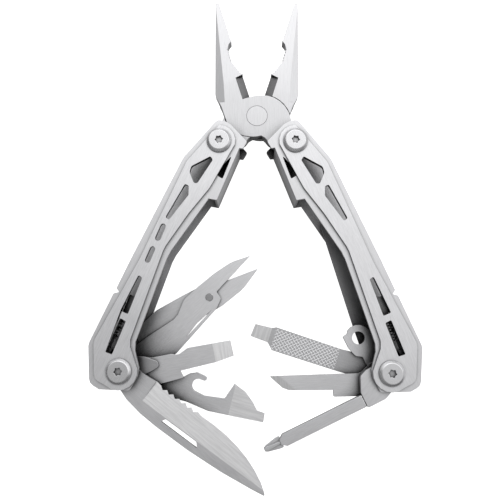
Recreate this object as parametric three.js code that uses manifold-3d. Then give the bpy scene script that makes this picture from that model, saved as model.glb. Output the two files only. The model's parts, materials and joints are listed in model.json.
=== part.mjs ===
// Butterfly-opening multi tool, lying flat with its jaws and blades fanned out. Millimetres.
// +X right, +Y towards the jaw tips, +Z up through the thickness; every hinge axis is parallel to Z.
import * as THREE from 'three';
import { mergeVertices } from 'three/addons/utils/BufferGeometryUtils.js';
import Module from 'manifold-3d';

const wasm = await Module();
wasm.setup();

// ---------------------------------------------------------------- driving dimensions
const PIVOT_X = 0.8; // jaw pivot seen from the middle of the footprint
const PIVOT_Y = 46.5;
const JAW_OPEN = 17.5; // each jaw's turn from shut
const TANG_X = 10.1; // handle bolt seen from the jaw pivot, jaws shut
const TANG_Y = -15.6;
const HANDLE_LENGTH = 91.7; // between a handle's two bolts
const LEFT_HEADING = -112.4; // direction from a handle's top bolt to its bottom bolt
const RIGHT_HEADING = -68.8;

const HEAD_H = 1.5; // bolt heads and nuts stand proud of the covers
const COVER_T = 1;
const WALL_T = 1.2;
const INSIDE = 12.6; // between the channel walls
const BACK_COVER_Z = HEAD_H;
const BACK_WALL_Z = BACK_COVER_Z + COVER_T;
const FLOOR_Z = BACK_WALL_Z + WALL_T;
const ROOF_Z = FLOOR_Z + INSIDE;
const FRONT_COVER_Z = ROOF_Z + WALL_T;
const FRONT_HEAD_Z = FRONT_COVER_Z + COVER_T;
const TOTAL_Z = FRONT_HEAD_Z + HEAD_H;
const MIDDLE_Z = (FLOOR_Z + ROOF_Z) / 2;

const LAYER_GAP = 0.08; // running clearance between neighbouring tools
const JAW_T = 5.6;
const JAW_TIP_T = 3.8;
const LAP_CLEAR = 13.65; // half-thickness recess around the pivot
const LAP_GAP = 0.25;
const RIVET_R = 4;
const BOLT_R = 1.9;
const BORE_R = 2;
const HEAD_R = 4.6;
const WASHER_R = 4.5;
const HUB_R = 4.9;

// thickness of each tool layer, front to back; left and right tools use different layers
const LAYERS = {
  phillips: 2.4, knife: 1.6, chisel: 1.2, driver: 1.3, file: 1.3, opener: 1.2,
  saw: 1, shears: 0.9, lever: 0.9,
};
const layer = {};
let layerTop = ROOF_Z - LAYER_GAP;
for (const [name, thickness] of Object.entries(LAYERS)) {
  layer[name] = [layerTop - thickness, layerTop];
  layerTop -= thickness + LAYER_GAP;
}

// ---------------------------------------------------------------- materials
const steel = (color, roughness) => new THREE.MeshStandardMaterial({ color, roughness, metalness: 1 });
const SATIN = () => steel(0xc9cacb, 0.38);
const BRUSHED = () => steel(0xb4b5b6, 0.34);
const POLISHED = () => steel(0xdcdddd, 0.18);
const DARK = () => steel(0x5c5d5f, 0.42);

// ---------------------------------------------------------------- outline helpers
const rad = THREE.MathUtils.degToRad;
const polar = (x, y, r, degrees) => [x + r * Math.cos(rad(degrees)), y + r * Math.sin(rad(degrees))];

/** Points along an arc from one angle to another, in degrees. */
function arc(x, y, r, from, to, steps = Math.ceil(Math.abs(to - from) / 22)) {
  return Array.from({ length: steps + 1 }, (_, i) => polar(x, y, r, from + ((to - from) * i) / steps));
}

/** Replaces each corner [x, y, radius] by a round one. */
function rounded(points) {
  return points.flatMap(([x, y, radius], i) => {
    if (!radius) return [[x, y]];
    const here = new THREE.Vector2(x, y);
    const [before, after] = [points.at(i - 1), points[(i + 1) % points.length]].map((p) =>
      new THREE.Vector2(p[0], p[1]).sub(here));
    const cosine = before.dot(after) / before.length() / after.length();
    const half = Math.acos(THREE.MathUtils.clamp(cosine, -1, 1)) / 2;
    const reach = Math.min(radius / Math.tan(half), before.length() * 0.49, after.length() * 0.49);
    const start = here.clone().addScaledVector(before.normalize(), reach);
    const end = here.clone().addScaledVector(after.normalize(), reach);
    const curve = new THREE.QuadraticBezierCurve(start, here, end);
    const steps = Math.max(1, Math.round((180 - THREE.MathUtils.radToDeg(half * 2)) / 32));
    return curve.getPoints(steps).map((p) => [p.x, p.y]);
  });
}

/** Zigzag teeth between two points, standing to the left of the way from one to the other. */
function teeth([x0, y0], [x1, y1], count, height) {
  const length = Math.hypot(x1 - x0, y1 - y0);
  const [nx, ny] = [(-(y1 - y0) / length) * height, ((x1 - x0) / length) * height];
  return Array.from({ length: count }, (_, i) => {
    const [s, t] = [i / count, (i + 0.5) / count];
    return [[x0 + (x1 - x0) * s, y0 + (y1 - y0) * s], [x0 + (x1 - x0) * t + nx, y0 + (y1 - y0) * t + ny]];
  }).flat();
}

const flip = (points, sign) => points.map(([x, y, r]) => (r ? [x, y * sign, r] : [x, y * sign]));
const circle = (x, y, r, steps = 16) => arc(x, y, r, 0, 360 - 360 / steps, steps - 1);
/** A counter-clockwise shape or hole, leaving out any point that repeats the one before it. */
function toPath(points, Kind) {
  const path = points.map(([x, y]) => new THREE.Vector2(x, y))
    .filter((p, i, all) => p.distanceTo(all.at(i - 1)) > 0.01);
  return new Kind(THREE.ShapeUtils.isClockWise(path) ? path.reverse() : path);
}

// ---------------------------------------------------------------- solids
/** A flat plate between two heights, with holes. */
function plate(points, low, high, holes = []) {
  const shape = toPath(rounded(points), THREE.Shape);
  shape.holes = holes.map((hole) => toPath(rounded(hole), THREE.Path));
  return new THREE.ExtrudeGeometry(shape, { depth: high - low, bevelEnabled: false }).translate(0, 0, low);
}

/** A bar along local X whose section is drawn in local Y and Z. */
function bar(section, from, to, holes = []) {
  const alongX = new THREE.Matrix4().makeBasis(
    new THREE.Vector3(0, 1, 0), new THREE.Vector3(0, 0, 1), new THREE.Vector3(1, 0, 0));
  return plate(section, from, to, holes).applyMatrix4(alongX);
}

/** A turned part about the Z axis, from [radius, height] pairs that start and end on the axis or close. */
function turned(profile, segments = 24) {
  const points = profile.map(([r, z]) => new THREE.Vector2(r, z));
  return new THREE.LatheGeometry(points, segments).rotateX(Math.PI / 2);
}

function toManifold(geometry) {
  const bare = geometry.clone();
  bare.deleteAttribute('normal');
  bare.deleteAttribute('uv');
  const merged = mergeVertices(bare, 1e-4);
  return new wasm.Manifold(new wasm.Mesh({
    numProp: 3,
    vertProperties: new Float32Array(merged.attributes.position.array),
    triVerts: new Uint32Array(merged.index.array),
  }));
}

function toGeometry(manifold) {
  const { vertProperties, triVerts } = manifold.getMesh();
  const geometry = new THREE.BufferGeometry();
  geometry.setAttribute('position', new THREE.BufferAttribute(vertProperties, 3));
  geometry.setIndex(new THREE.BufferAttribute(triVerts, 1));
  return geometry;
}

const join = (...geometries) => toGeometry(geometries.map(toManifold).reduce((a, b) => a.add(b)));
const cut = (base, ...tools) => toGeometry(
  tools.map(toManifold).reduce((a, b) => a.subtract(b), toManifold(base)));
const common = (a, b) => toGeometry(toManifold(a).intersect(toManifold(b)));

const root = new THREE.Group();

function add(parent, name, geometry, material) {
  const mesh = new THREE.Mesh(geometry, material);
  mesh.name = name;
  parent.add(mesh);
  return mesh;
}

function groupAt(parent, x, y, degrees) {
  const group = new THREE.Group();
  group.position.set(x, y, 0);
  group.rotation.z = rad(degrees);
  parent.add(group);
  return group;
}

// ---------------------------------------------------------------- fasteners
/** Six-lobed drive socket as a star prism. */
function driveSocket(radius, low, high) {
  const points = Array.from({ length: 12 }, (_, i) => polar(0, 0, i % 2 ? radius * 0.72 : radius, i * 30));
  return plate(points, low, high);
}

/** Bolt with a chamfered head above the front cover; its shank ends inside the nut. */
function boltGeometry() {
  const profile = [
    [0, 0.7], [BOLT_R, 0.7], [BOLT_R, FRONT_HEAD_Z], [HEAD_R, FRONT_HEAD_Z], [HEAD_R, TOTAL_Z - 0.9],
    [HEAD_R - 0.9, TOTAL_Z], [0, TOTAL_Z],
  ];
  return cut(turned(profile), driveSocket(1.6, TOTAL_Z - 1.1, TOTAL_Z + 1));
}

/** Nut behind the back cover, bored for the end of the bolt. */
function nutGeometry() {
  const profile = [
    [0, 0], [HEAD_R - 0.9, 0], [HEAD_R, 0.9], [HEAD_R, HEAD_H], [BORE_R, HEAD_H], [BORE_R, 0.6], [0, 0.6],
  ];
  return turned(profile);
}

const washer = (low, high, r = WASHER_R) => plate(circle(0, 0, r), low, high, [circle(0, 0, BORE_R)]);

// ---------------------------------------------------------------- jaws (drawn shut, tip up, on the left)
const NOSE_LENGTH = 49.6;
const TAPER_FROM = 16;
const GRIP_TOP = 34.3; // the fine grip runs from here to the tip
const PIPE_TOP = 32.6; // the curved pipe grip
const PIPE_BOTTOM = 24;
const CUTTER_TOP = 17.8;
const CUTTER_BOTTOM = 8;
const CUTTER_W = 3.05;
const MEET = -0.15; // the shut jaws' faces stay this far from the middle

const jawFace = [
  [MEET, CUTTER_BOTTOM], [MEET, CUTTER_TOP + 0.3], [MEET - 0.5, 18.4],
  ...teeth([-0.6, 18.6], [-2.6, PIPE_BOTTOM], 5, 0.4),
  ...teeth([-2.7, PIPE_BOTTOM], [-2.5, 30], 5, 0.5),
  [-1.7, 31.6], [MEET - 0.1, PIPE_TOP],
  ...teeth([MEET - 0.35, GRIP_TOP], [MEET - 0.25, NOSE_LENGTH - 0.8], 14, -0.22),
];
/** Edge of the lap, which narrows from the tang round to the cutter: [degrees, radius]. */
const LAP_EDGE = [[-25, 13.4], [-5, 12], [15, 10.8], [35, 9.7], [54, 8.7], [80, 8.1], [95, 8]];
function lapRadius(degrees) {
  const i = LAP_EDGE.findIndex(([d]) => d >= degrees);
  if (i < 1) return LAP_EDGE.at(i)[1];
  const [[d0, r0], [d1, r1]] = LAP_EDGE.slice(i - 1, i + 1);
  return THREE.MathUtils.mapLinear(degrees, d0, d1, r0, r1);
}
/** The lap's edge between two of its angles, turned about the pivot. */
const lapArc = (from, to, turn, gap = 0) => Array.from({ length: 9 }, (_, i) => {
  const degrees = from + ((to - from) * i) / 8;
  return polar(0, 0, lapRadius(degrees) + gap, degrees + turn);
});

const jawOutline = [
  ...jawFace,
  [MEET - 0.1, NOSE_LENGTH], [-1.5, NOSE_LENGTH + 0.4], [-12.9, 13.4, 3], [-12, 7.4, 3], [-11.9, 2],
  ...lapArc(-2, 84, 180), [0.3, -9.3, 0.5], [1.1, -11.4, 1], ...arc(TANG_X, TANG_Y, HUB_R, 190, 376),
  [12, -7, 1], ...lapArc(-25, 86, 0),
];

const OTHER_LAP = 180 - 2 * JAW_OPEN; // where the other jaw's lap stands with the jaws open
const RECESS_FROM = -10; // the recess clears the whole lap circle between these two angles
const RECESS_TO = 84;
const recessEdge = (turn) => lapArc(60, -25, 0, LAP_GAP).map(([x, y]) => {
  const degrees = THREE.MathUtils.radToDeg(Math.atan2(y, x));
  return polar(0, 0, Math.hypot(x, y), turn - degrees);
});
/** Half-thickness recess that the other jaw's lap turns in. */
const recess = [
  ...arc(0, 0, LAP_CLEAR, RECESS_FROM, RECESS_TO), ...recessEdge(OTHER_LAP),
  ...arc(0, 0, LAP_CLEAR, RECESS_FROM + 180, RECESS_TO + 180), ...recessEdge(OTHER_LAP + 180),
];

/** Side view of a jaw: full thickness about the joint, thinner towards the tip. */
const jawTaper = () => {
  const [half, tip] = [JAW_T / 2, JAW_TIP_T / 2];
  const section = [
    [-25, MIDDLE_Z - half], [TAPER_FROM, MIDDLE_Z - half], [NOSE_LENGTH + 2, MIDDLE_Z - tip],
    [NOSE_LENGTH + 2, MIDDLE_Z + tip], [TAPER_FROM, MIDDLE_Z + half], [-25, MIDDLE_Z + half],
  ];
  return bar(section, -30, 30);
};

const BEVEL_FROM = [-1.6, 49.8];
const BEVEL_TO = [-9.9, 9];
const BEVEL_SLOPE = Math.tan(rad(28));
const TAPER = (JAW_T - JAW_TIP_T) / 2 / (NOSE_LENGTH + 2 - TAPER_FROM);

/** Wedge that leaves a long chamfer on the outer edge of a nose, on its front (1) or back (-1) face. */
function noseBevel(sign, face) {
  const [x0, y0] = BEVEL_FROM;
  const [dx, dy] = [BEVEL_TO[0] - x0, BEVEL_TO[1] - y0];
  const [inside, outside, above] = [0.6, 6, 4];
  const section = [
    [inside, inside * BEVEL_SLOPE], [inside, above],
    [-outside, above], [-outside, -outside * BEVEL_SLOPE],
  ].map(([y, z]) => [y * sign, z * face]);
  const faceHeight = JAW_TIP_T / 2 + TAPER * (NOSE_LENGTH + 2 - y0);
  return bar(section, -3, Math.hypot(dx, dy))
    .rotateY(-Math.atan(TAPER) * face)
    .rotateZ(Math.atan2(dy, dx * sign))
    .translate(x0 * sign, y0, MIDDLE_Z + faceHeight * face);
}

/** Wire cutter: an insert ground to an edge from both faces. */
const cutterWedge = (sign) => {
  const half = JAW_T / 2 - 0.05;
  const edge = 0.3;
  const back = CUTTER_W + 0.3;
  const section = [
    [back, MIDDLE_Z - half], [-MEET, MIDDLE_Z - edge], [-MEET, MIDDLE_Z + edge], [back, MIDDLE_Z + half],
  ];
  return bar(section, -30, 30).rotateZ((Math.PI / 2) * sign);
};
const cutterOutline = (grow) => [
  [MEET - CUTTER_W - grow, CUTTER_BOTTOM + 0.2 - grow], [MEET + 0.05 + grow, CUTTER_BOTTOM + 0.2 - grow],
  [MEET + 0.05 + grow, CUTTER_TOP + grow], [MEET - CUTTER_W - grow, CUTTER_TOP - 0.6 + grow],
];

/** One jaw. The front one (1) is drawn on the left; the rear one (-1) is its mirror image. */
function jawParts(sign) {
  const [low, high] = [MIDDLE_Z - JAW_T / 2, MIDDLE_Z + JAW_T / 2];
  const half = sign > 0 ? [low - 1, MIDDLE_Z + 0.05] : [MIDDLE_Z - 0.05, high + 1];
  const mirror = (points) => points.map(([x, y, r]) => (r ? [x * sign, y, r] : [x * sign, y]));
  const whole = plate(mirror(jawOutline), low, high, [
    circle(0, 0, RIVET_R + 0.08, 36), circle(TANG_X * sign, TANG_Y, BORE_R),
  ]);
  const lap = plate(mirror(recess), ...half);
  const pocket = plate(mirror(cutterOutline(0.1)), low - 1, high + 1);
  const jaw = cut(common(whole, jawTaper()), lap, pocket, noseBevel(sign, 1), noseBevel(sign, -1));
  const cutterBar = plate(mirror(cutterOutline(0)), low + 0.05, high - 0.05);
  const cutter = cut(common(cutterBar, cutterWedge(sign)), lap);
  return { jaw, cutter };
}

const pliers = groupAt(root, PIVOT_X, PIVOT_Y, 0);
const frontJaw = groupAt(pliers, 0, 0, JAW_OPEN);
const rearJaw = groupAt(pliers, 0, 0, -JAW_OPEN);
const front = jawParts(1);
const rear = jawParts(-1);
add(frontJaw, 'front_jaw', front.jaw, SATIN());
add(frontJaw, 'front_cutter', front.cutter, DARK());
add(rearJaw, 'rear_jaw', rear.jaw, SATIN());
add(rearJaw, 'rear_cutter', rear.cutter, DARK());
const rivetHalf = JAW_T / 2;
add(frontJaw, 'pivot_rivet', turned([
  [0, MIDDLE_Z - rivetHalf], [RIVET_R, MIDDLE_Z - rivetHalf], [RIVET_R, MIDDLE_Z + rivetHalf],
  [0, MIDDLE_Z + rivetHalf],
], 36), SATIN());

// ---------------------------------------------------------------- handles
// Local X runs from the top bolt to the bottom bolt; outlines give [along, outward].
const CHANNEL = [
  [-7.8, 3.9, 2], [11, 10, 6], [53.7, 12.6], [65, 13.1], [66, 11.7], [67.2, 13.3], [87.2, 14.2, 3],
  [99.6, 8.2, 3], [100.2, 4], [96.5, -6, 1], [89.2, -6.9, 4], [81.6, -1.2, 5], [46.5, 0.6, 12],
  [21.7, -4.9], [21.1, -7.9], [-0.5, -8], [-0.8, -9.3, 0.5], [-3.9, -9.8, 0.8], [-8.2, -0.5, 4],
];
const COVER = [
  ...arc(0, 0, 6.1, 260, 158), [11.8, 8, 5], [52.6, 9.4], [85.5, 12.6, 3], [97.4, 7, 3],
  ...arc(HANDLE_LENGTH, 0, 6.6, 20, -118), [81.3, 0.7, 4], [45, 2.8, 8], [29.8, -0.4], [18, -3.8, 5],
];
const STOP_SLOT = [
  [3.2, -6.6, 0.3], [12.9, -6.8, 0.5], [12.4, -4.4, 0.5], [10.2, -4.3, 0.5], [6.8, -5.2, 0.5],
];
const KITE_HOLE = [
  [6.8, 0.6, 0.5], [13, 5.7, 1], [15.4, 5.4, 1], [18.7, 2.2, 0.8], [18, 1, 0.6], [7.7, -0.8, 0.7],
];
const WEDGE_HOLE = [[20, 5.2, 0.8], [34.4, 6.9, 0.7], [34.9, 5.3, 0.7], [23.5, 2.3, 0.7], [20.3, 3.6, 0.6]];
const SLIDE_HOLE = [[57.6, 7.4, 0.7], [71.9, 8.2, 0.4], [72, 5.2, 0.4], [58, 5.7, 0.7]];
const SPRING_HOLE = [[74.3, 7.2, 0.5], [87.3, 7.2, 0.4], [87.2, 4.6, 0.4], [74.6, 4.8, 0.5]];
/** A short slot with round ends, along the handle. */
const shortSlot = (from, to, outward, width) => [
  ...arc(from + width / 2, outward, width / 2, 90, 270, 6),
  ...arc(to - width / 2, outward, width / 2, -90, 90, 6),
];
const SHORT_SLOTS = [shortSlot(36.8, 43.6, 6.3, 2.1), shortSlot(46, 52.4, 6.5, 2)];
const LONG_HOLES = [KITE_HOLE, WEDGE_HOLE, SLIDE_HOLE, SPRING_HOLE];
const bolts = (r) => [circle(0, 0, r), circle(HANDLE_LENGTH, 0, r)];

const WEB_END = 21.1;
const SPRING_Y = 7.6; // the lock spring's axis
const SPRING_Z = 14;
const SPRING_R = 1.35; // to the middle of the wire
const WIRE_R = 0.25;
const SPRING_FROM = 74.3;
const SPRING_TO = 82.6;
const SPRING_TURNS = 7;
const STEM_R = 0.7;
const SLIDE_LOW = 8.2;
const SLIDE_HIGH = 15.9;

/** The lock spring as a swept helix about an axis parallel to local X. */
function lockSpring(side) {
  const steps = SPRING_TURNS * 8;
  const points = Array.from({ length: steps + 1 }, (_, i) => {
    const turn = (i / steps) * SPRING_TURNS * 2 * Math.PI;
    return new THREE.Vector3(
      SPRING_FROM + WIRE_R + ((SPRING_TO - SPRING_FROM - 2 * WIRE_R) * i) / steps,
      side * SPRING_Y + SPRING_R * Math.cos(turn), SPRING_Z + SPRING_R * Math.sin(turn));
  });
  const section = toPath(circle(0, 0, WIRE_R, 4), THREE.Shape);
  const extrudePath = new THREE.CatmullRomCurve3(points);
  return new THREE.ExtrudeGeometry(section, { steps, extrudePath });
}

/** Lock slide: block and thumb catch, a stem through the spring, and the head that meets the tool hubs. */
function lockSlide(side) {
  const block = plate(flip([
    [65.3, 4.6, 0.3], [65.3, 8.3], [66.4, 8.3], [66.9, 12.4, 0.5], [70.4, 12.8, 0.5],
    [70.8, 8.3], [71.8, 8.3, 0.3], [71.8, 4.6, 0.3],
  ], side), SLIDE_LOW, SLIDE_HIGH);
  const stem = bar(circle(side * SPRING_Y, SPRING_Z, STEM_R, 12), 71, 86);
  const head = plate(flip([
    [85.8, 5.9], [85.8, 9.3, 0.5], [92, 9.3, 0.8], [92, 6.1], [88.6, 6.1],
  ], side), SLIDE_LOW, SLIDE_HIGH);
  return join(block, stem, head);
}

/** Bulkhead on the front wall that the spring pushes against; the stem runs through it. */
function springStop(side) {
  const section = [[side * 5.6, 11.5], [side * 10.4, 11.5], [side * 10.4, ROOF_Z], [side * 5.6, ROOF_Z]];
  return bar(section, 72.6, 74.1, [circle(side * SPRING_Y, SPRING_Z, STEM_R + 0.15, 12)]);
}

function handle(name, side, bolt, heading, holes) {
  const group = groupAt(pliers, ...bolt, heading);
  const openings = [...bolts(BORE_R), ...holes.map((hole) => flip(hole, side))];
  const stopSlot = flip(STOP_SLOT, side);
  const wall = (low, high, cutOuts) => plate(flip(CHANNEL, side), low, high, [...cutOuts, stopSlot]);
  const webOutline = flip([[-0.5, -8], [-0.5, -7], [WEB_END, -7], [WEB_END, -7.9]], side);
  const web = plate(webOutline, FLOOR_Z - 0.5, ROOF_Z + 0.5);
  const backWall = wall(BACK_WALL_Z, FLOOR_Z, bolts(BORE_R)); // closed behind the windows of the back cover
  const channel = join(backWall, wall(ROOF_Z, FRONT_COVER_Z, openings), web);
  add(group, `${name}_channel`, channel, SATIN());
  const cover = (low, high) => plate(flip(COVER, side), low, high, openings);
  add(group, `${name}_front_cover`, cover(FRONT_COVER_Z, FRONT_HEAD_Z), SATIN());
  add(group, `${name}_back_cover`, cover(BACK_COVER_Z, BACK_WALL_Z), SATIN());
  for (const [end, x] of [['top', 0], ['bottom', HANDLE_LENGTH]]) {
    const place = groupAt(group, x, 0, 0);
    add(place, `${name}_${end}_bolt`, boltGeometry(), POLISHED());
    add(place, `${name}_${end}_nut`, nutGeometry(), POLISHED());
  }
  const tangTop = MIDDLE_Z + JAW_T / 2;
  const tangBottom = MIDDLE_Z - JAW_T / 2;
  add(group, `${name}_front_spacer`, washer(tangTop + LAYER_GAP, ROOF_Z - LAYER_GAP), BRUSHED());
  add(group, `${name}_back_spacer`, washer(FLOOR_Z + LAYER_GAP, tangBottom - LAYER_GAP), BRUSHED());
  add(group, `${name}_lock_slide`, lockSlide(side), BRUSHED());
  add(group, `${name}_lock_spring`, lockSpring(side), POLISHED());
  add(group, `${name}_spring_stop`, springStop(side), DARK());
  return group;
}

/** A handle bolt's place when its jaw is open. */
const tangBolt = (sign, turn) => new THREE.Vector2(TANG_X * sign, TANG_Y)
  .rotateAround(new THREE.Vector2(), rad(turn)).toArray();
const left = handle('left', -1, tangBolt(-1, -JAW_OPEN), LEFT_HEADING, [...LONG_HOLES, ...SHORT_SLOTS]);
const right = handle('right', 1, tangBolt(1, JAW_OPEN), RIGHT_HEADING, LONG_HOLES);

// ---------------------------------------------------------------- tools
// Drawn from the bottom bolt: local X along the tool, outlines give [along, towards its cutting side].
// At 0 degrees a tool is stowed, pointing at the top bolt with its cutting side in the channel.
function toolGroup(parent, side, opened) {
  return groupAt(parent, HANDLE_LENGTH, 0, 180 + side * opened);
}

/** Tool plate in its own layer with its bore, mirrored so that its cutting side faces out when stowed. */
const blade = (outline, side, [low, high], holes = []) =>
  plate(flip(outline, -side), low, high, [circle(0, 0, BORE_R), ...holes.map((hole) => flip(hole, -side))]);
/** Grinds a tool thinner on both faces, more and more to the left of a line on its drawing. */
function grind(tool, side, start, end, degrees, [low, high]) {
  const [from, to] = side < 0 ? [start, end] : [end, start].map(([x, y]) => [x, -y]);
  const [dx, dy] = [to[0] - from[0], to[1] - from[1]];
  const slope = Math.tan(rad(degrees));
  const [before, reach, clear] = [0.5, 20, 3];
  const face = (z, up) => bar([
    [-before, z + before * slope * up], [-before, z + clear * up],
    [reach, z + clear * up], [reach, z - reach * slope * up],
  ], 0, Math.hypot(dx, dy)).rotateZ(Math.atan2(dy, dx)).translate(from[0], from[1], 0);
  return cut(tool, face(high, 1), face(low, -1));
}
/** The round end of a tool about its bolt, counter-clockwise from one angle to another. */
const hub = (from, to) => arc(0, 0, HUB_R, from, to);

const KNIFE_OPEN = 102.1;
const DRIVER_OPEN = 55.6;
const OPENER_OPEN = 81.6;
const SHEARS_OPEN = 28.7;
const FILE_OPEN = 51.3;
const CHISEL_OPEN = 70.3;
const PHILLIPS_OPEN = 94.3;
const TAB_OPEN = 21.8;

const knife = [
  ...hub(60, 280), [7.6, -7.3, 1.5], [14.5, -8.5], [21.6, -9], [35.6, -9.2], [49.7, -8.6], [61.6, -7.4],
  [67.6, -6.6, 0.4], [63.8, -3.8], [59.4, -1.5], [54.9, 0.3], [49.5, 1.8], [44.4, 2.7], [38.7, 3.1],
  [33, 3.1],
  ...teeth([32.6, 2.6], [13.6, 2.6], 7, -1).slice(1),
  [13.2, 3.9, 0.3], [6.4, 3.5, 1],
];
const knifeSlot = [[22.2, -6.5, 0.3], [23.2, -4.9, 0.4], [36.8, -5.1, 0.5], [38.2, -6.8, 0.3]];
const driver = [
  ...hub(64, 250), [0.5, -4.9], [10.6, -7.9, 1], [21.2, -7.4, 0.5], [20.3, -4.7, 0.4], [33.8, -4.4],
  [40.8, -3.5, 0.3], [40.7, 2.4, 0.3], [24.6, 2.9, 1.5], [20.6, 1.1, 1.5], [18.2, 2, 1.5],
  [11, 2.1, 2], [6.6, 3.6, 1],
];
const driverSpacer = [...hub(60, 290), [10.5, -2.5, 1], [13.2, -1.6, 1], [13, 0.5, 1.2], [8.5, 3.2, 2]];
const opener = [
  ...hub(70, 270), [2, -4.9], [10, -5.8, 3], [25.2, -5.9], [33.7, -7.2, 1], [54.6, -6.3, 0.3],
  [54.4, -2.9, 0.3],
  [51.4, -2.7, 0.5], [49.2, -0.2, 1], [45.6, 2.8, 1], [40.9, 4.7], [38.6, -1.4, 0.6], [31, -2.2, 1],
  ...arc(28, 0.9, 2.4, 250, 100, 7), ...arc(29.6, 3.9, 0.9, -80, 70, 5), [26.4, 5.4, 1.2], [23.6, 4.2, 1.5],
  [20.4, 1.2, 2], [12, 2.4, 4], [5.5, 3.6, 1],
];
const shears = [
  ...hub(90, 230), [6, -7, 2], [18.1, -7.3, 2], [40.6, -3.6, 1.5], [44.2, -1.7, 1], [44.4, 1.4, 0.5],
  [63.4, 4.1], [56.2, 6.8, 8], [48.2, 7.5, 10], [40, 7.4, 4], [33, 6.9, 3], [26.4, 3.2, 4], [14, 4.4, 4],
];
const shearsSlit = [[24.6, -4.9], [38.6, -2.9], [31, -3.3, 2]];
const SHEARS_RIVET = [40.9, 1.4];
const lever = [
  [9.5, 4.2, 1], [17.5, 1.5, 3], [33, -2.6, 5], [42.6, -4.1, 4], [53.2, -4.1, 8], [62.8, -1.6, 0.3],
  [44.5, 4.2, 3], [40, 7.2, 3], [33, 8.6, 6], [21.9, 10.4, 3], [10.5, 9.2, 2],
];
const file = [
  ...hub(60, 270), [5, -4.9, 2], [16.5, -5.3], [42.4, -5.3, 0.5], [44.8, -3], [51.6, -2.7, 0.3],
  [51.2, 2.2, 0.3],
  [44.6, 2.7], [43.3, 3.4, 0.5], [17.7, 2.9], [7, 3.6, 2],
];
const chisel = [
  ...hub(66, 270), [5, -5.6, 1], [10.2, -8.3, 1], [20, -8.3, 0.4], [20, -5.9], [36.2, -5.6, 0.8],
  [38.5, -4.7],
  [43.2, -0.4, 0.3], [9.9, -0.2, 2], [6, 3.4, 1],
];
const TAB_HOLE = [15.8, 1.1];
const TAB_HOLE_R = 2.4;
const tab = [
  ...hub(66, 290), [7.5, -3.4, 1.5], [9.8, -2.6, 0.8], [11.8, -4.3, 1], [15.6, -4.2, 1], [20, -2.9, 0.5],
  [19.7, -1, 0.5], ...arc(...TAB_HOLE, 4.8, -10, 112), [9, 4.6, 2], [5, 3.9, 1],
];
const saw = [
  ...hub(64, 270), [5, -5.2, 2], [20, -4.4], [58.8, -1.4], [62, 0.8, 0.4],
  ...teeth([61.6, 2.6], [15, 3.2], 24, -0.7),
  [13.5, 3.6, 0.5], [6.5, 3.5, 1],
];

const leftTool = (opened) => toolGroup(left, -1, opened);
const rightTool = (opened) => toolGroup(right, 1, opened);
const driverArm = leftTool(DRIVER_OPEN);
const shearsArm = leftTool(SHEARS_OPEN);
const phillipsArm = rightTool(PHILLIPS_OPEN);
const knifeBlade = blade(knife, -1, layer.knife, [knifeSlot]);
const knifeGround = grind(knifeBlade, -1, [12.5, -4.4], [70, -5.3], 4.8, layer.knife);
add(leftTool(KNIFE_OPEN), 'knife', knifeGround, BRUSHED());
const driverGround = grind(blade(driver, -1, layer.driver), -1, [33.8, 6], [33.8, -8], 2.8, layer.driver);
add(driverArm, 'large_driver', driverGround, BRUSHED());
add(driverArm, 'driver_spacer', blade(driverSpacer, -1, layer.chisel), BRUSHED());
const openerGround = grind(blade(opener, -1, layer.opener), -1, [41.4, 8], [41.4, -9], 1.6, layer.opener);
add(leftTool(OPENER_OPEN), 'can_opener', openerGround, BRUSHED());
const rivetHole = circle(...SHEARS_RIVET, 1.5);
add(shearsArm, 'scissors_blade', blade(shears, -1, layer.shears, [shearsSlit, rivetHole]), BRUSHED());
add(shearsArm, 'scissors_lever', plate(flip(lever, 1), ...layer.lever, [rivetHole]), BRUSHED());
const fileGround = grind(blade(file, 1, layer.file), 1, [44.8, 6], [44.8, -8], 2.8, layer.file);
add(rightTool(FILE_OPEN), 'file', fileGround, BRUSHED());
const chiselGround = grind(blade(chisel, 1, layer.chisel), 1, [41.4, 1], [32, -6.8], 9, layer.chisel);
add(rightTool(CHISEL_OPEN), 'chisel_blade', chiselGround, BRUSHED());
const tabPlate = blade(tab, 1, layer.driver, [circle(...TAB_HOLE, TAB_HOLE_R)]);
add(rightTool(TAB_OPEN), 'lanyard_tab', tabPlate, BRUSHED());
add(rightTool(0), 'saw', blade(saw, 1, layer.saw), DARK());

// scissors rivet: a slotted head in front, riveted over behind
const [leverLow] = layer.lever;
const shearsTop = layer.shears[1];
const rivetBody = turned([[0, leverLow], [1.42, leverLow], [1.42, shearsTop], [0, shearsTop]], 24);
add(shearsArm, 'scissors_rivet', rivetBody.translate(...SHEARS_RIVET, 0), POLISHED());

// Phillips driver: a square bar with a cross tip, held in a bent bracket
const BIT_Y = -4.7;
const BIT_HALF = 2.2;
const [bitLow, bitHigh] = layer.phillips;
const bitMiddle = (bitLow + bitHigh) / 2;
const bracket = [
  ...hub(68, 262), [5.5, -7.4, 1], [12.6, -7.5, 0.5], [12.6, -1.8, 0.5], [10, 3.6, 1], [7.2, 4.6, 1],
];
const bitBar = plate(flip([
  [12.9, BIT_Y - BIT_HALF], [44.2, BIT_Y - BIT_HALF], [46, BIT_Y - 0.9], [46, BIT_Y + 0.9],
  [44.2, BIT_Y + BIT_HALF], [12.9, BIT_Y + BIT_HALF],
], -1), bitLow, bitHigh);
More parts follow.
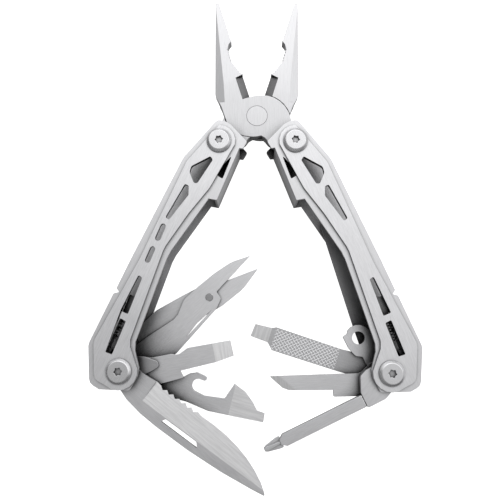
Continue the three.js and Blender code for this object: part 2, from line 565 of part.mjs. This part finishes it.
/** One web of the cross tip, lying flat or standing. */
const crossWeb = (halfWide, endWide, halfHigh) => {
  const web = plate([
    [45.5, -halfWide], [46.8, -halfWide], [51, -endWide * 1.8], [52.2, -endWide], [52.2, endWide],
    [51, endWide * 1.8], [46.8, halfWide], [45.5, halfWide],
  ], bitMiddle - halfHigh, bitMiddle + halfHigh);
  return web.translate(0, -BIT_Y, 0);
};
add(phillipsArm, 'phillips_bracket', blade(bracket, 1, layer.phillips), BRUSHED());
const bit = join(bitBar, crossWeb(2.1, 0.7, 0.4), crossWeb(0.45, 0.4, 1.15));
add(phillipsArm, 'phillips_bit', bit, BRUSHED());

// ---------------------------------------------------------------- washers between the tools
/** Fills a handle's free layers at its bottom bolt so that the bolt clamps a solid stack. */
function washers(parent, name, spans) {
  const place = groupAt(parent, HANDLE_LENGTH, 0, 0);
  spans.forEach(([low, high], i) => add(place, `${name}_washer_${i + 1}`, washer(low, high), BRUSHED()));
}
washers(left, 'left', [layer.phillips, layer.file, layer.saw]);
washers(right, 'right', [layer.knife, layer.opener, [layer.lever[0], layer.shears[1]]]);

export default root;
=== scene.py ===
"""Looks of the multi tool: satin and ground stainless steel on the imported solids."""
import json
import math

import bmesh
import bpy
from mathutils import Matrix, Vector

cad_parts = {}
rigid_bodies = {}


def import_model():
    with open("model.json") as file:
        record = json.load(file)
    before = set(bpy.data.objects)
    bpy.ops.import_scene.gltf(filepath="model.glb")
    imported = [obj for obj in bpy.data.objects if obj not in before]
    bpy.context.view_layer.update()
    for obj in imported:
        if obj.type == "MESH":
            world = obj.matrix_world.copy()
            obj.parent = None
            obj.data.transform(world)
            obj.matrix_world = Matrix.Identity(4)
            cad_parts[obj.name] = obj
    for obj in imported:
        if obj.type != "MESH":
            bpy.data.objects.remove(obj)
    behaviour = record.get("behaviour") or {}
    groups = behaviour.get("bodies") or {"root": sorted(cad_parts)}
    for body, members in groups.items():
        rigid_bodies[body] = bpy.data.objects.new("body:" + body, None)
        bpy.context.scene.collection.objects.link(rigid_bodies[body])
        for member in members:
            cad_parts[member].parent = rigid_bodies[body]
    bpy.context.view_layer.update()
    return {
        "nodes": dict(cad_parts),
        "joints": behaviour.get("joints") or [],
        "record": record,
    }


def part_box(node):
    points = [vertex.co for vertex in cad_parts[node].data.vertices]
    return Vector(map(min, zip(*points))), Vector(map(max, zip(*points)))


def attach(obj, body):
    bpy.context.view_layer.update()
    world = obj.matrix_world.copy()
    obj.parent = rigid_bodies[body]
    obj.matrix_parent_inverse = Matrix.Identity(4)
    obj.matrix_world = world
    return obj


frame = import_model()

MM = 0.001
NODES = frame["nodes"]
JOINTS = {j["name"]: j for j in frame["joints"]}
BODIES = frame["record"]["behaviour"]["bodies"]
NODE_BODY = {node: body for body, names in BODIES.items() for node in names}


def pin(joint):
    """Where a hinge's axis stands, seen from above."""
    return Vector(JOINTS[joint]["pos_m"])


PIVOT = pin("jaw_pivot")
LEFT_TOP, RIGHT_TOP = pin("left_handle_fold"), pin("right_handle_fold")
LEFT_BOTTOM, RIGHT_BOTTOM = pin("knife_fold"), pin("file_fold")


def heading(start, end):
    return math.atan2(end.y - start.y, end.x - start.x)


def long_axis(node):
    """Direction in the plane along which a node is longest, from the spread of its vertices."""
    points = [v.co for v in NODES[node].data.vertices]
    mx = sum(p.x for p in points) / len(points)
    my = sum(p.y for p in points) / len(points)
    sxx = sum((p.x - mx) ** 2 for p in points)
    syy = sum((p.y - my) ** 2 for p in points)
    sxy = sum((p.x - mx) * (p.y - my) for p in points)
    return 0.5 * math.atan2(2 * sxy, sxx - syy)


# ---------------------------------------------------------------- camera
CAMERA_OFFSET = Vector((-2.7 * MM, -80.3 * MM, 210.8 * MM))  # from the jaw pivot at mid thickness
CAMERA_TILT = 7.628
camera_data = bpy.data.cameras.new("camera")
camera_data.lens = 40.32
camera_data.sensor_width = 36
camera_data.clip_start = 0.01
camera = bpy.data.objects.new("camera", camera_data)
camera.location = Vector((PIVOT.x, PIVOT.y, 10 * MM)) + CAMERA_OFFSET
camera.rotation_euler = (math.radians(CAMERA_TILT), 0, 0)
bpy.context.scene.collection.objects.link(camera)
bpy.context.scene.camera = camera


# ---------------------------------------------------------------- materials
class Nodes:
    """Small helper that builds a node tree by chained calls."""

    def __init__(self, tree):
        self.tree = tree
        tree.nodes.clear()

    def add(self, kind, inputs=None, **props):
        node = self.tree.nodes.new(kind)
        for name, value in props.items():
            setattr(node, name, value)
        for key, value in (inputs or {}).items():
            self.put(node.inputs[key], value)
        return node

    def put(self, socket, value):
        if isinstance(value, bpy.types.NodeSocket):
            self.tree.links.new(value, socket)
        else:
            socket.default_value = value


def grey(value):
    return (value, value, value * 1.01, 1)


NEARLY_FLAT = 0.9998  # upright part of the normal of a face that leans by about one degree
STEEP = 0.975  # the same at about 13 degrees, more than any ground face leans


def ground_zone(n):
    """1 where a flat face leans away from the flat of the tool by a few degrees: the faces ground to an edge. It
    masks their real grinding lines and their painted sheen.
    """
    normal = n.add("ShaderNodeNewGeometry").outputs["True Normal"]
    upright = n.add("ShaderNodeSeparateXYZ", {0: normal}).outputs["Z"]
    upright = n.add("ShaderNodeMath", {0: upright}, operation="ABSOLUTE").outputs[0]
    leaning = n.add("ShaderNodeMath", {0: upright, 1: NEARLY_FLAT}, operation="LESS_THAN").outputs[0]
    shallow = n.add("ShaderNodeMath", {0: upright, 1: STEEP}, operation="GREATER_THAN").outputs[0]
    return n.add("ShaderNodeMath", {0: leaning, 1: shallow}, operation="MULTIPLY").outputs[0]


PAINTED_SHADE_REACH = 18 * MM  # a surface with others closer than this gets painted shade, a darker colour


def steel(name, tone, roughness, along=0.0, brush=0.3, grain=0.15, stain=0.06, ground=0.0, across=math.pi / 2):
    """Bare stainless steel. Fine scratches run along one direction over a short blasted grain, and the tone and the
    roughness drift slowly over the surface, as on metal that has been handled. Recesses and the gaps between the
    layers get painted shade: ambient occlusion darkens the colour there. Ground faces get a painted sheen, a tone
    brighter by the factor ground, over coarser grinding lines of their own direction."""
    material = bpy.data.materials.new(name)
    material.use_nodes = True
    n = Nodes(material.node_tree)
    where = n.add("ShaderNodeTexCoord").outputs["Object"]
    turned = n.add("ShaderNodeMapping", {"Vector": where, "Rotation": (0, 0, -along)}).outputs[0]
    streaky = n.add("ShaderNodeMapping", {"Vector": turned, "Scale": (260, 5200, 900)}).outputs[0]
    scratches = n.add("ShaderNodeTexNoise", {
        "Vector": streaky, "Scale": 1.0, "Detail": 4.0, "Roughness": 0.65}).outputs["Fac"]
    speckle = n.add("ShaderNodeTexNoise", {
        "Vector": where, "Scale": 3600.0, "Detail": 3.0, "Roughness": 0.7}).outputs["Fac"]
    drift = n.add("ShaderNodeTexNoise", {
        "Vector": where, "Scale": 55.0, "Detail": 3.0, "Roughness": 0.55}).outputs["Fac"]

    tone_of = n.add("ShaderNodeValToRGB", {"Fac": scratches})
    tone_of.color_ramp.elements[0].position = 0.25
    tone_of.color_ramp.elements[0].color = grey(tone * (1 - 0.35 * brush))
    tone_of.color_ramp.elements[1].position = 0.75
    tone_of.color_ramp.elements[1].color = grey(min(1, tone * (1 + 0.18 * brush)))
    cloud = n.add("ShaderNodeValToRGB", {"Fac": drift})
    cloud.color_ramp.elements[0].position = 0.3
    cloud.color_ramp.elements[0].color = grey(1 - stain)
    cloud.color_ramp.elements[1].position = 0.7
    cloud.color_ramp.elements[1].color = grey(1)
    colour = n.add("ShaderNodeMix", {0: 1.0, 6: tone_of.outputs[0], 7: cloud.outputs[0]},
                   data_type="RGBA", blend_type="MULTIPLY").outputs[2]
    height = scratches
    if ground:
        zone = ground_zone(n)
        wheel = n.add("ShaderNodeMapping", {"Vector": where, "Rotation": (0, 0, -along - across)}).outputs[0]
        wheel = n.add("ShaderNodeMapping", {"Vector": wheel, "Scale": (90, 1500, 300)}).outputs[0]
        marks = n.add("ShaderNodeTexNoise", {
            "Vector": wheel, "Scale": 1.0, "Detail": 3.0, "Roughness": 0.7}).outputs["Fac"]
        # painted sheen: the ground faces get a tone brighter than the flats, by the factor ground, in place of their
        # brighter reflection
        painted_sheen = n.add("ShaderNodeValToRGB", {"Fac": marks})
        painted_sheen.color_ramp.elements[0].position = 0.35
        painted_sheen.color_ramp.elements[0].color = grey(min(1, tone * ground * 0.86))
        painted_sheen.color_ramp.elements[1].position = 0.65
        painted_sheen.color_ramp.elements[1].color = grey(min(1, tone * ground * 1.06))
        colour = n.add("ShaderNodeMix", {0: zone, 6: colour, 7: painted_sheen.outputs[0]}, data_type="RGBA").outputs[2]
        height = n.add("ShaderNodeMix", {0: zone, 2: scratches, 3: marks}, data_type="FLOAT").outputs[0]
    # painted shade: ambient occlusion darkens the colour in recesses and in the gaps between the layers
    occlusion = n.add("ShaderNodeAmbientOcclusion", {"Distance": PAINTED_SHADE_REACH}, samples=8).outputs["AO"]
    shade = n.add("ShaderNodeMapRange", {
        "Value": occlusion, "From Min": 0.3, "From Max": 0.85, "To Min": 0.03, "To Max": 1.0}).outputs[0]
    colour = n.add("ShaderNodeMix", {0: 1.0, 6: colour, 7: shade}, data_type="RGBA", blend_type="MULTIPLY").outputs[2]

    rough_scratch = n.add("ShaderNodeMapRange", {
        "Value": scratches, "From Min": 0.25, "From Max": 0.75,
        "To Min": roughness - 0.10 * brush, "To Max": roughness + 0.16 * brush}).outputs[0]
    rough_drift = n.add("ShaderNodeMapRange", {
        "Value": drift, "From Min": 0.3, "From Max": 0.7, "To Min": -stain * 0.6, "To Max": stain * 0.6}).outputs[0]
    total_rough = n.add("ShaderNodeMath", {0: rough_scratch, 1: rough_drift}, operation="ADD").outputs[0]

    lines = n.add("ShaderNodeBump", {"Height": height, "Strength": brush, "Distance": 0.02 * MM}).outputs[0]
    bumps = n.add("ShaderNodeBump", {
        "Height": speckle, "Strength": grain, "Distance": 0.03 * MM, "Normal": lines}).outputs[0]
    shader = n.add("ShaderNodeBsdfPrincipled", {
        "Base Color": colour, "Metallic": 1.0, "Roughness": total_rough, "Normal": bumps})
    n.add("ShaderNodeOutputMaterial", {"Surface": shader.outputs[0]})
    return material


LEFT = heading(LEFT_TOP, LEFT_BOTTOM)
RIGHT = heading(RIGHT_TOP, RIGHT_BOTTOM)
HANDLE_ALONG = {"left": LEFT, "right": RIGHT}


def surface_for(node):
    """The steel of one CAD node: its finish from what the piece is, its grain along the piece. The saw's low tone is
    painted shade, on the same steel as the other blades.
    """
    side = node.split("_")[0]
    along = HANDLE_ALONG.get(side, 0.0)
    if node.endswith("_cutter"):
        return steel(node, 0.30, 0.34, along=0.3, brush=0.5, grain=0.2)
    if node in ("front_jaw", "rear_jaw"):
        return steel(node, 0.72, 0.36, along=math.pi / 2, brush=0.35, grain=0.5, stain=0.03)
    if node == "pivot_rivet":
        return steel(node, 0.76, 0.33, along=math.pi / 2, brush=0.3, grain=0.4)
    if node.endswith("_cover"):
        return steel(node, 0.88, 0.36, along=along, brush=0.45, grain=0.6, stain=0.04)
    if node.endswith("_channel"):
        return steel(node, 0.84, 0.38, along=along, brush=0.35, grain=0.5, stain=0.06)
    if node == "scissors_rivet":
        return steel(node, 0.42, 0.30, along=0.5, brush=0.4, grain=0.3, stain=0.1)
    if node.endswith(("_bolt", "_nut")):
        return steel(node, 0.84, 0.24, along=along, brush=0.25, grain=0.2, stain=0.05)
    if node.endswith(("_spacer", "_stop")) or "_washer_" in node:
        return steel(node, 0.55, 0.34, along=along, brush=0.4, grain=0.2)
    if node.endswith("_lock_spring"):
        return steel(node, 0.72, 0.22, along=along, brush=0.2, grain=0.05)
    if node.endswith("_lock_slide"):
        return steel(node, 0.62, 0.36, along=along, brush=0.4, grain=0.4)
    # painted shade: the saw gets a low tone, darker than the other blades of the same steel, for the shadow inside
    # the handle
    if node == "saw":
        return steel(node, 0.36, 0.40, along=RIGHT, brush=0.5, grain=0.3, stain=0.12)
    # ground: how much brighter the painted sheen makes the ground faces
    if node in ("knife", "phillips_bit", "phillips_bracket", "scissors_blade", "scissors_lever"):
        return steel(node, 0.82, 0.34, along=long_axis(node), brush=0.4, grain=0.45, stain=0.06,
                     ground=1.18, across=0.0)
    if node == "file":
        return steel(node, 0.60, 0.36, along=long_axis(node), brush=0.4, grain=0.45, stain=0.06, ground=1.35)
    if node == "can_opener":
        return steel(node, 0.82, 0.36, along=long_axis(node), brush=0.4, grain=0.45, stain=0.05,
                     ground=1.2, across=0.0)
    return steel(node, 0.82, 0.36, along=long_axis(node), brush=0.4, grain=0.45, stain=0.06, ground=1.2)


# ---------------------------------------------------------------- edges of the CAD nodes
def edge_width(node):
    """Broken edge, in millimetres."""
    if node.endswith("_cover"):
        return 0.40
    if node.endswith("_channel"):
        return 0.45
    if node in ("front_jaw", "rear_jaw"):
        return 0.30
    if node.endswith(("_bolt", "_nut")):
        return 0.18
    if node.endswith("_lock_spring"):
        return 0
    if "washer" in node or "spacer" in node or node == "pivot_rivet":
        return 0.12
    if node.endswith("lock_slide"):
        return 0.2
    return 0.14


def crease_limit(node):
    """Smallest angle, in degrees, that counts as an edge. Ground bevels are shallow, so they need a low one."""
    if node in ("front_jaw", "rear_jaw"):
        return 9
    if NODE_BODY[node] in ("knife_body", "large_driver_body", "can_opener_body", "chisel_body", "file_body"):
        return 2.2
    return 30


def sharp_by_angle():
    """Geometry nodes that shade a surface smooth and keep every edge sharper than the limit crisp."""
    tree = bpy.data.node_groups.new("sharp_by_angle", "GeometryNodeTree")
    tree.interface.new_socket("Geometry", in_out="INPUT", socket_type="NodeSocketGeometry")
    tree.interface.new_socket("Limit", in_out="INPUT", socket_type="NodeSocketFloat")
    tree.interface.new_socket("Geometry", in_out="OUTPUT", socket_type="NodeSocketGeometry")
    n = Nodes(tree)
    start = n.add("NodeGroupInput")
    angle = n.add("GeometryNodeInputMeshEdgeAngle").outputs["Unsigned Angle"]
    soft = n.add("FunctionNodeCompare", {0: angle, 1: start.outputs["Limit"]},
                 data_type="FLOAT", operation="LESS_EQUAL").outputs[0]
    faces = n.add("GeometryNodeSetShadeSmooth", {"Geometry": start.outputs["Geometry"], "Shade Smooth": True},
                  domain="FACE").outputs[0]
    edges = n.add("GeometryNodeSetShadeSmooth", {"Geometry": faces, "Shade Smooth": soft}, domain="EDGE").outputs[0]
    n.add("NodeGroupOutput", {"Geometry": edges})
    return tree


SHARP = sharp_by_angle()


SAME_POINT = 1e-6  # metres between vertices that are merged
SAME_PLANE = math.radians(0.4)
BROKEN_EDGE = math.radians(30)  # an edge sharper than this is rounded


def dress(node):
    """Gives a CAD node its steel and its rounded edges, without touching its mesh."""
    obj = NODES[node]
    for slot in obj.material_slots:
        slot.material = MATERIALS[node]
    weld = obj.modifiers.new("weld", "WELD")
    weld.merge_threshold = SAME_POINT
    width = edge_width(node)
    limit = crease_limit(node)
    if width:
        flat = obj.modifiers.new("flat", "DECIMATE")
        flat.decimate_type = "DISSOLVE"
        flat.angle_limit = SAME_PLANE
        edge = obj.modifiers.new("edge", "BEVEL")
        edge.width = width * MM
        edge.segments = 2
        edge.limit_method = "ANGLE"
        edge.angle_limit = BROKEN_EDGE
        edge.miter_outer = "MITER_ARC"
    sharp = obj.modifiers.new("sharp", "NODES")
    sharp.node_group = SHARP
    sharp[SHARP.interface.items_tree["Limit"].identifier] = math.radians(limit)
    weighted = obj.modifiers.new("weighted", "WEIGHTED_NORMAL")
    weighted.keep_sharp = True
    weighted.weight = 80


MATERIALS = {node: surface_for(node) for node in NODES}
for node in NODES:
    dress(node)


# ---------------------------------------------------------------- file teeth
def new_piece(name, mesh, body, material):
    mesh.validate()
    obj = bpy.data.objects.new(name, mesh)
    bpy.context.scene.collection.objects.link(obj)
    obj.data.materials.append(material)
    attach(obj, body)
    return obj


def to_row(pin_at, turn, u, w, z):
    """A point given along (u) and across (w) a tool, in the row's frame."""
    c, s = math.cos(turn), math.sin(turn)
    return Vector((pin_at.x + u * c - w * s, pin_at.y + u * s + w * c, z))


def arm_angle(joint):
    """Heading of a tool at rest: it points at the top bolt when stowed, at the end of its range."""
    spec = JOINTS[joint]
    left = NODE_BODY["left_channel"] == spec["parent"]
    back = (LEFT if left else RIGHT) + math.pi
    return back - spec["axis"][2] * math.radians(spec["range_deg"][1])


def clipped(point, direction, low, high):
    """Part of a line that lies within an upright rectangle, as two distances along it."""
    start, end = -1e3, 1e3
    for axis in (0, 1):
        if abs(direction[axis]) < 1e-9:
            continue
        a = (low[axis] - point[axis]) / direction[axis]
        b = (high[axis] - point[axis]) / direction[axis]
        start, end = max(start, min(a, b)), min(end, max(a, b))
    return start, end


TEETH_LOW, TEETH_HIGH = Vector((18.4, -2.65)) * MM, Vector((43.0, 5.05)) * MM  # along and across the file
TEETH_PITCH = 1.05 * MM
TEETH_HALF = 0.27 * MM
TEETH_RISE = 0.07 * MM
TEETH_SINK = 0.02 * MM
TEETH_LEAN = math.radians(42)
TEETH_SHORTEST = 0.6 * MM
TEETH_EACH_SIDE = 16


def file_teeth():
    """Double-cut teeth on both faces of the file: low ridges in two crossing directions."""
    turn = arm_angle("file_fold")
    (_, _, z_low), (_, _, z_high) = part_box("file")
    middle = (TEETH_LOW + TEETH_HIGH) / 2
    bm = bmesh.new()
    for lean in (TEETH_LEAN, -TEETH_LEAN):
        along = Vector((math.cos(lean), math.sin(lean)))
        side = Vector((-along.y, along.x))
        for k in range(-TEETH_EACH_SIDE, TEETH_EACH_SIDE + 1):
            foot = middle + side * (k * TEETH_PITCH)
            start, end = clipped(foot, along, TEETH_LOW, TEETH_HIGH)
            if end - start < TEETH_SHORTEST:
                continue
            for z, up in ((z_high, 1), (z_low, -1)):
                rows = []
                for t in (start, end):
                    p = foot + along * t
                    rows.append([bm.verts.new(to_row(RIGHT_BOTTOM, turn, q.x, q.y, z + dz * up)) for q, dz in (
                        (p - side * TEETH_HALF, -TEETH_SINK), (p, TEETH_RISE), (p + side * TEETH_HALF, -TEETH_SINK))])
                (a, b, c), (d, e, f) = rows
                for face in ((a, b, e, d), (b, c, f, e), (c, a, d, f), (c, b, a), (d, e, f)):
                    bm.faces.new(face)
    bmesh.ops.recalc_face_normals(bm, faces=bm.faces)
    mesh = bpy.data.meshes.new("file_teeth")
    bm.to_mesh(mesh)
    bm.free()
    metal = steel("file_teeth", 0.74, 0.30, along=turn, brush=0.2, grain=0.3, stain=0.1)
    new_piece("file_teeth", mesh, NODE_BODY["file"], metal)


file_teeth()


# ---------------------------------------------------------------- floor, light
FLOOR_HALF = 3.0
FLOOR_DROP = 0.05 * MM
TENT_LEAN = (0.45, 1.15, 0.0)  # the side of the tent that is brighter
TENT_LEVEL = 0.62
TENT_DIMMEST = 0.36
TENT_BRIGHTEST = 1.25
TENT_LOW_LIGHT = 0.42  # of the light higher up


def floor():
    """A pale floor with a little light of its own, so that no shadow falls on it."""
    mesh = bpy.data.meshes.new("floor")
    half = FLOOR_HALF
    mesh.from_pydata([(-half, -half, 0), (half, -half, 0), (half, half, 0), (-half, half, 0)], [], [(0, 1, 2, 3)])
    obj = bpy.data.objects.new("floor", mesh)
    obj.location.z = -FLOOR_DROP
    material = bpy.data.materials.new("floor")
    material.use_nodes = True
    shader = material.node_tree.nodes["Principled BSDF"]
    shader.inputs["Base Color"].default_value = (0.93, 0.93, 0.93, 1)
    shader.inputs["Roughness"].default_value = 0.9
    shader.inputs["Emission Color"].default_value = (1, 1, 1, 1)
    shader.inputs["Emission Strength"].default_value = 1.0
    mesh.materials.append(material)
    obj.visible_glossy = False  # the metal's sides reflect the dimmer low light instead of the white floor
    bpy.context.scene.collection.objects.link(obj)


def studio():
    """A light tent, brighter towards the jaws and a little towards +X, and dimmer low down."""
    world = bpy.data.worlds.new("studio")
    world.use_nodes = True
    n = Nodes(world.node_tree)
    direction = n.add("ShaderNodeTexCoord").outputs["Generated"]
    lean = n.add("ShaderNodeVectorMath", {0: direction, 1: TENT_LEAN},
                 operation="DOT_PRODUCT").outputs["Value"]
    level = n.add("ShaderNodeMath", {0: lean, 1: TENT_LEVEL}, operation="ADD").outputs[0]
    low = n.add("ShaderNodeMath", {0: level, 1: TENT_DIMMEST}, operation="MAXIMUM").outputs[0]
    high = n.add("ShaderNodeMath", {0: low, 1: TENT_BRIGHTEST}, operation="MINIMUM").outputs[0]
    up = n.add("ShaderNodeSeparateXYZ", {0: direction}).outputs["Z"]
    horizon = n.add("ShaderNodeMapRange", {
        "Value": up, "From Min": -0.05, "From Max": 0.45, "To Min": TENT_LOW_LIGHT, "To Max": 1.0},
        interpolation_type="SMOOTHSTEP").outputs[0]
    total = n.add("ShaderNodeMath", {0: high, 1: horizon}, operation="MULTIPLY").outputs[0]
    back = n.add("ShaderNodeBackground", {"Color": (1, 1, 1, 1), "Strength": total})
    n.add("ShaderNodeOutputWorld", {"Surface": back.outputs[0]})
    bpy.context.scene.world = world
    for name, spot, size, power in (
        ("top_box", (0.0, 0.55, 0.55), 0.45, 0.30),
        ("side_box", (0.6, 0.1, 0.6), 0.4, 0.12),
    ):
        data = bpy.data.lights.new(name, "AREA")
        data.size = size
        data.energy = power
        light = bpy.data.objects.new(name, data)
        light.location = spot
        light.rotation_euler = (-Vector(spot)).to_track_quat("-Z", "Y").to_euler()
        bpy.context.scene.collection.objects.link(light)


floor()
studio()
bpy.context.scene.view_settings.view_transform = "Standard"
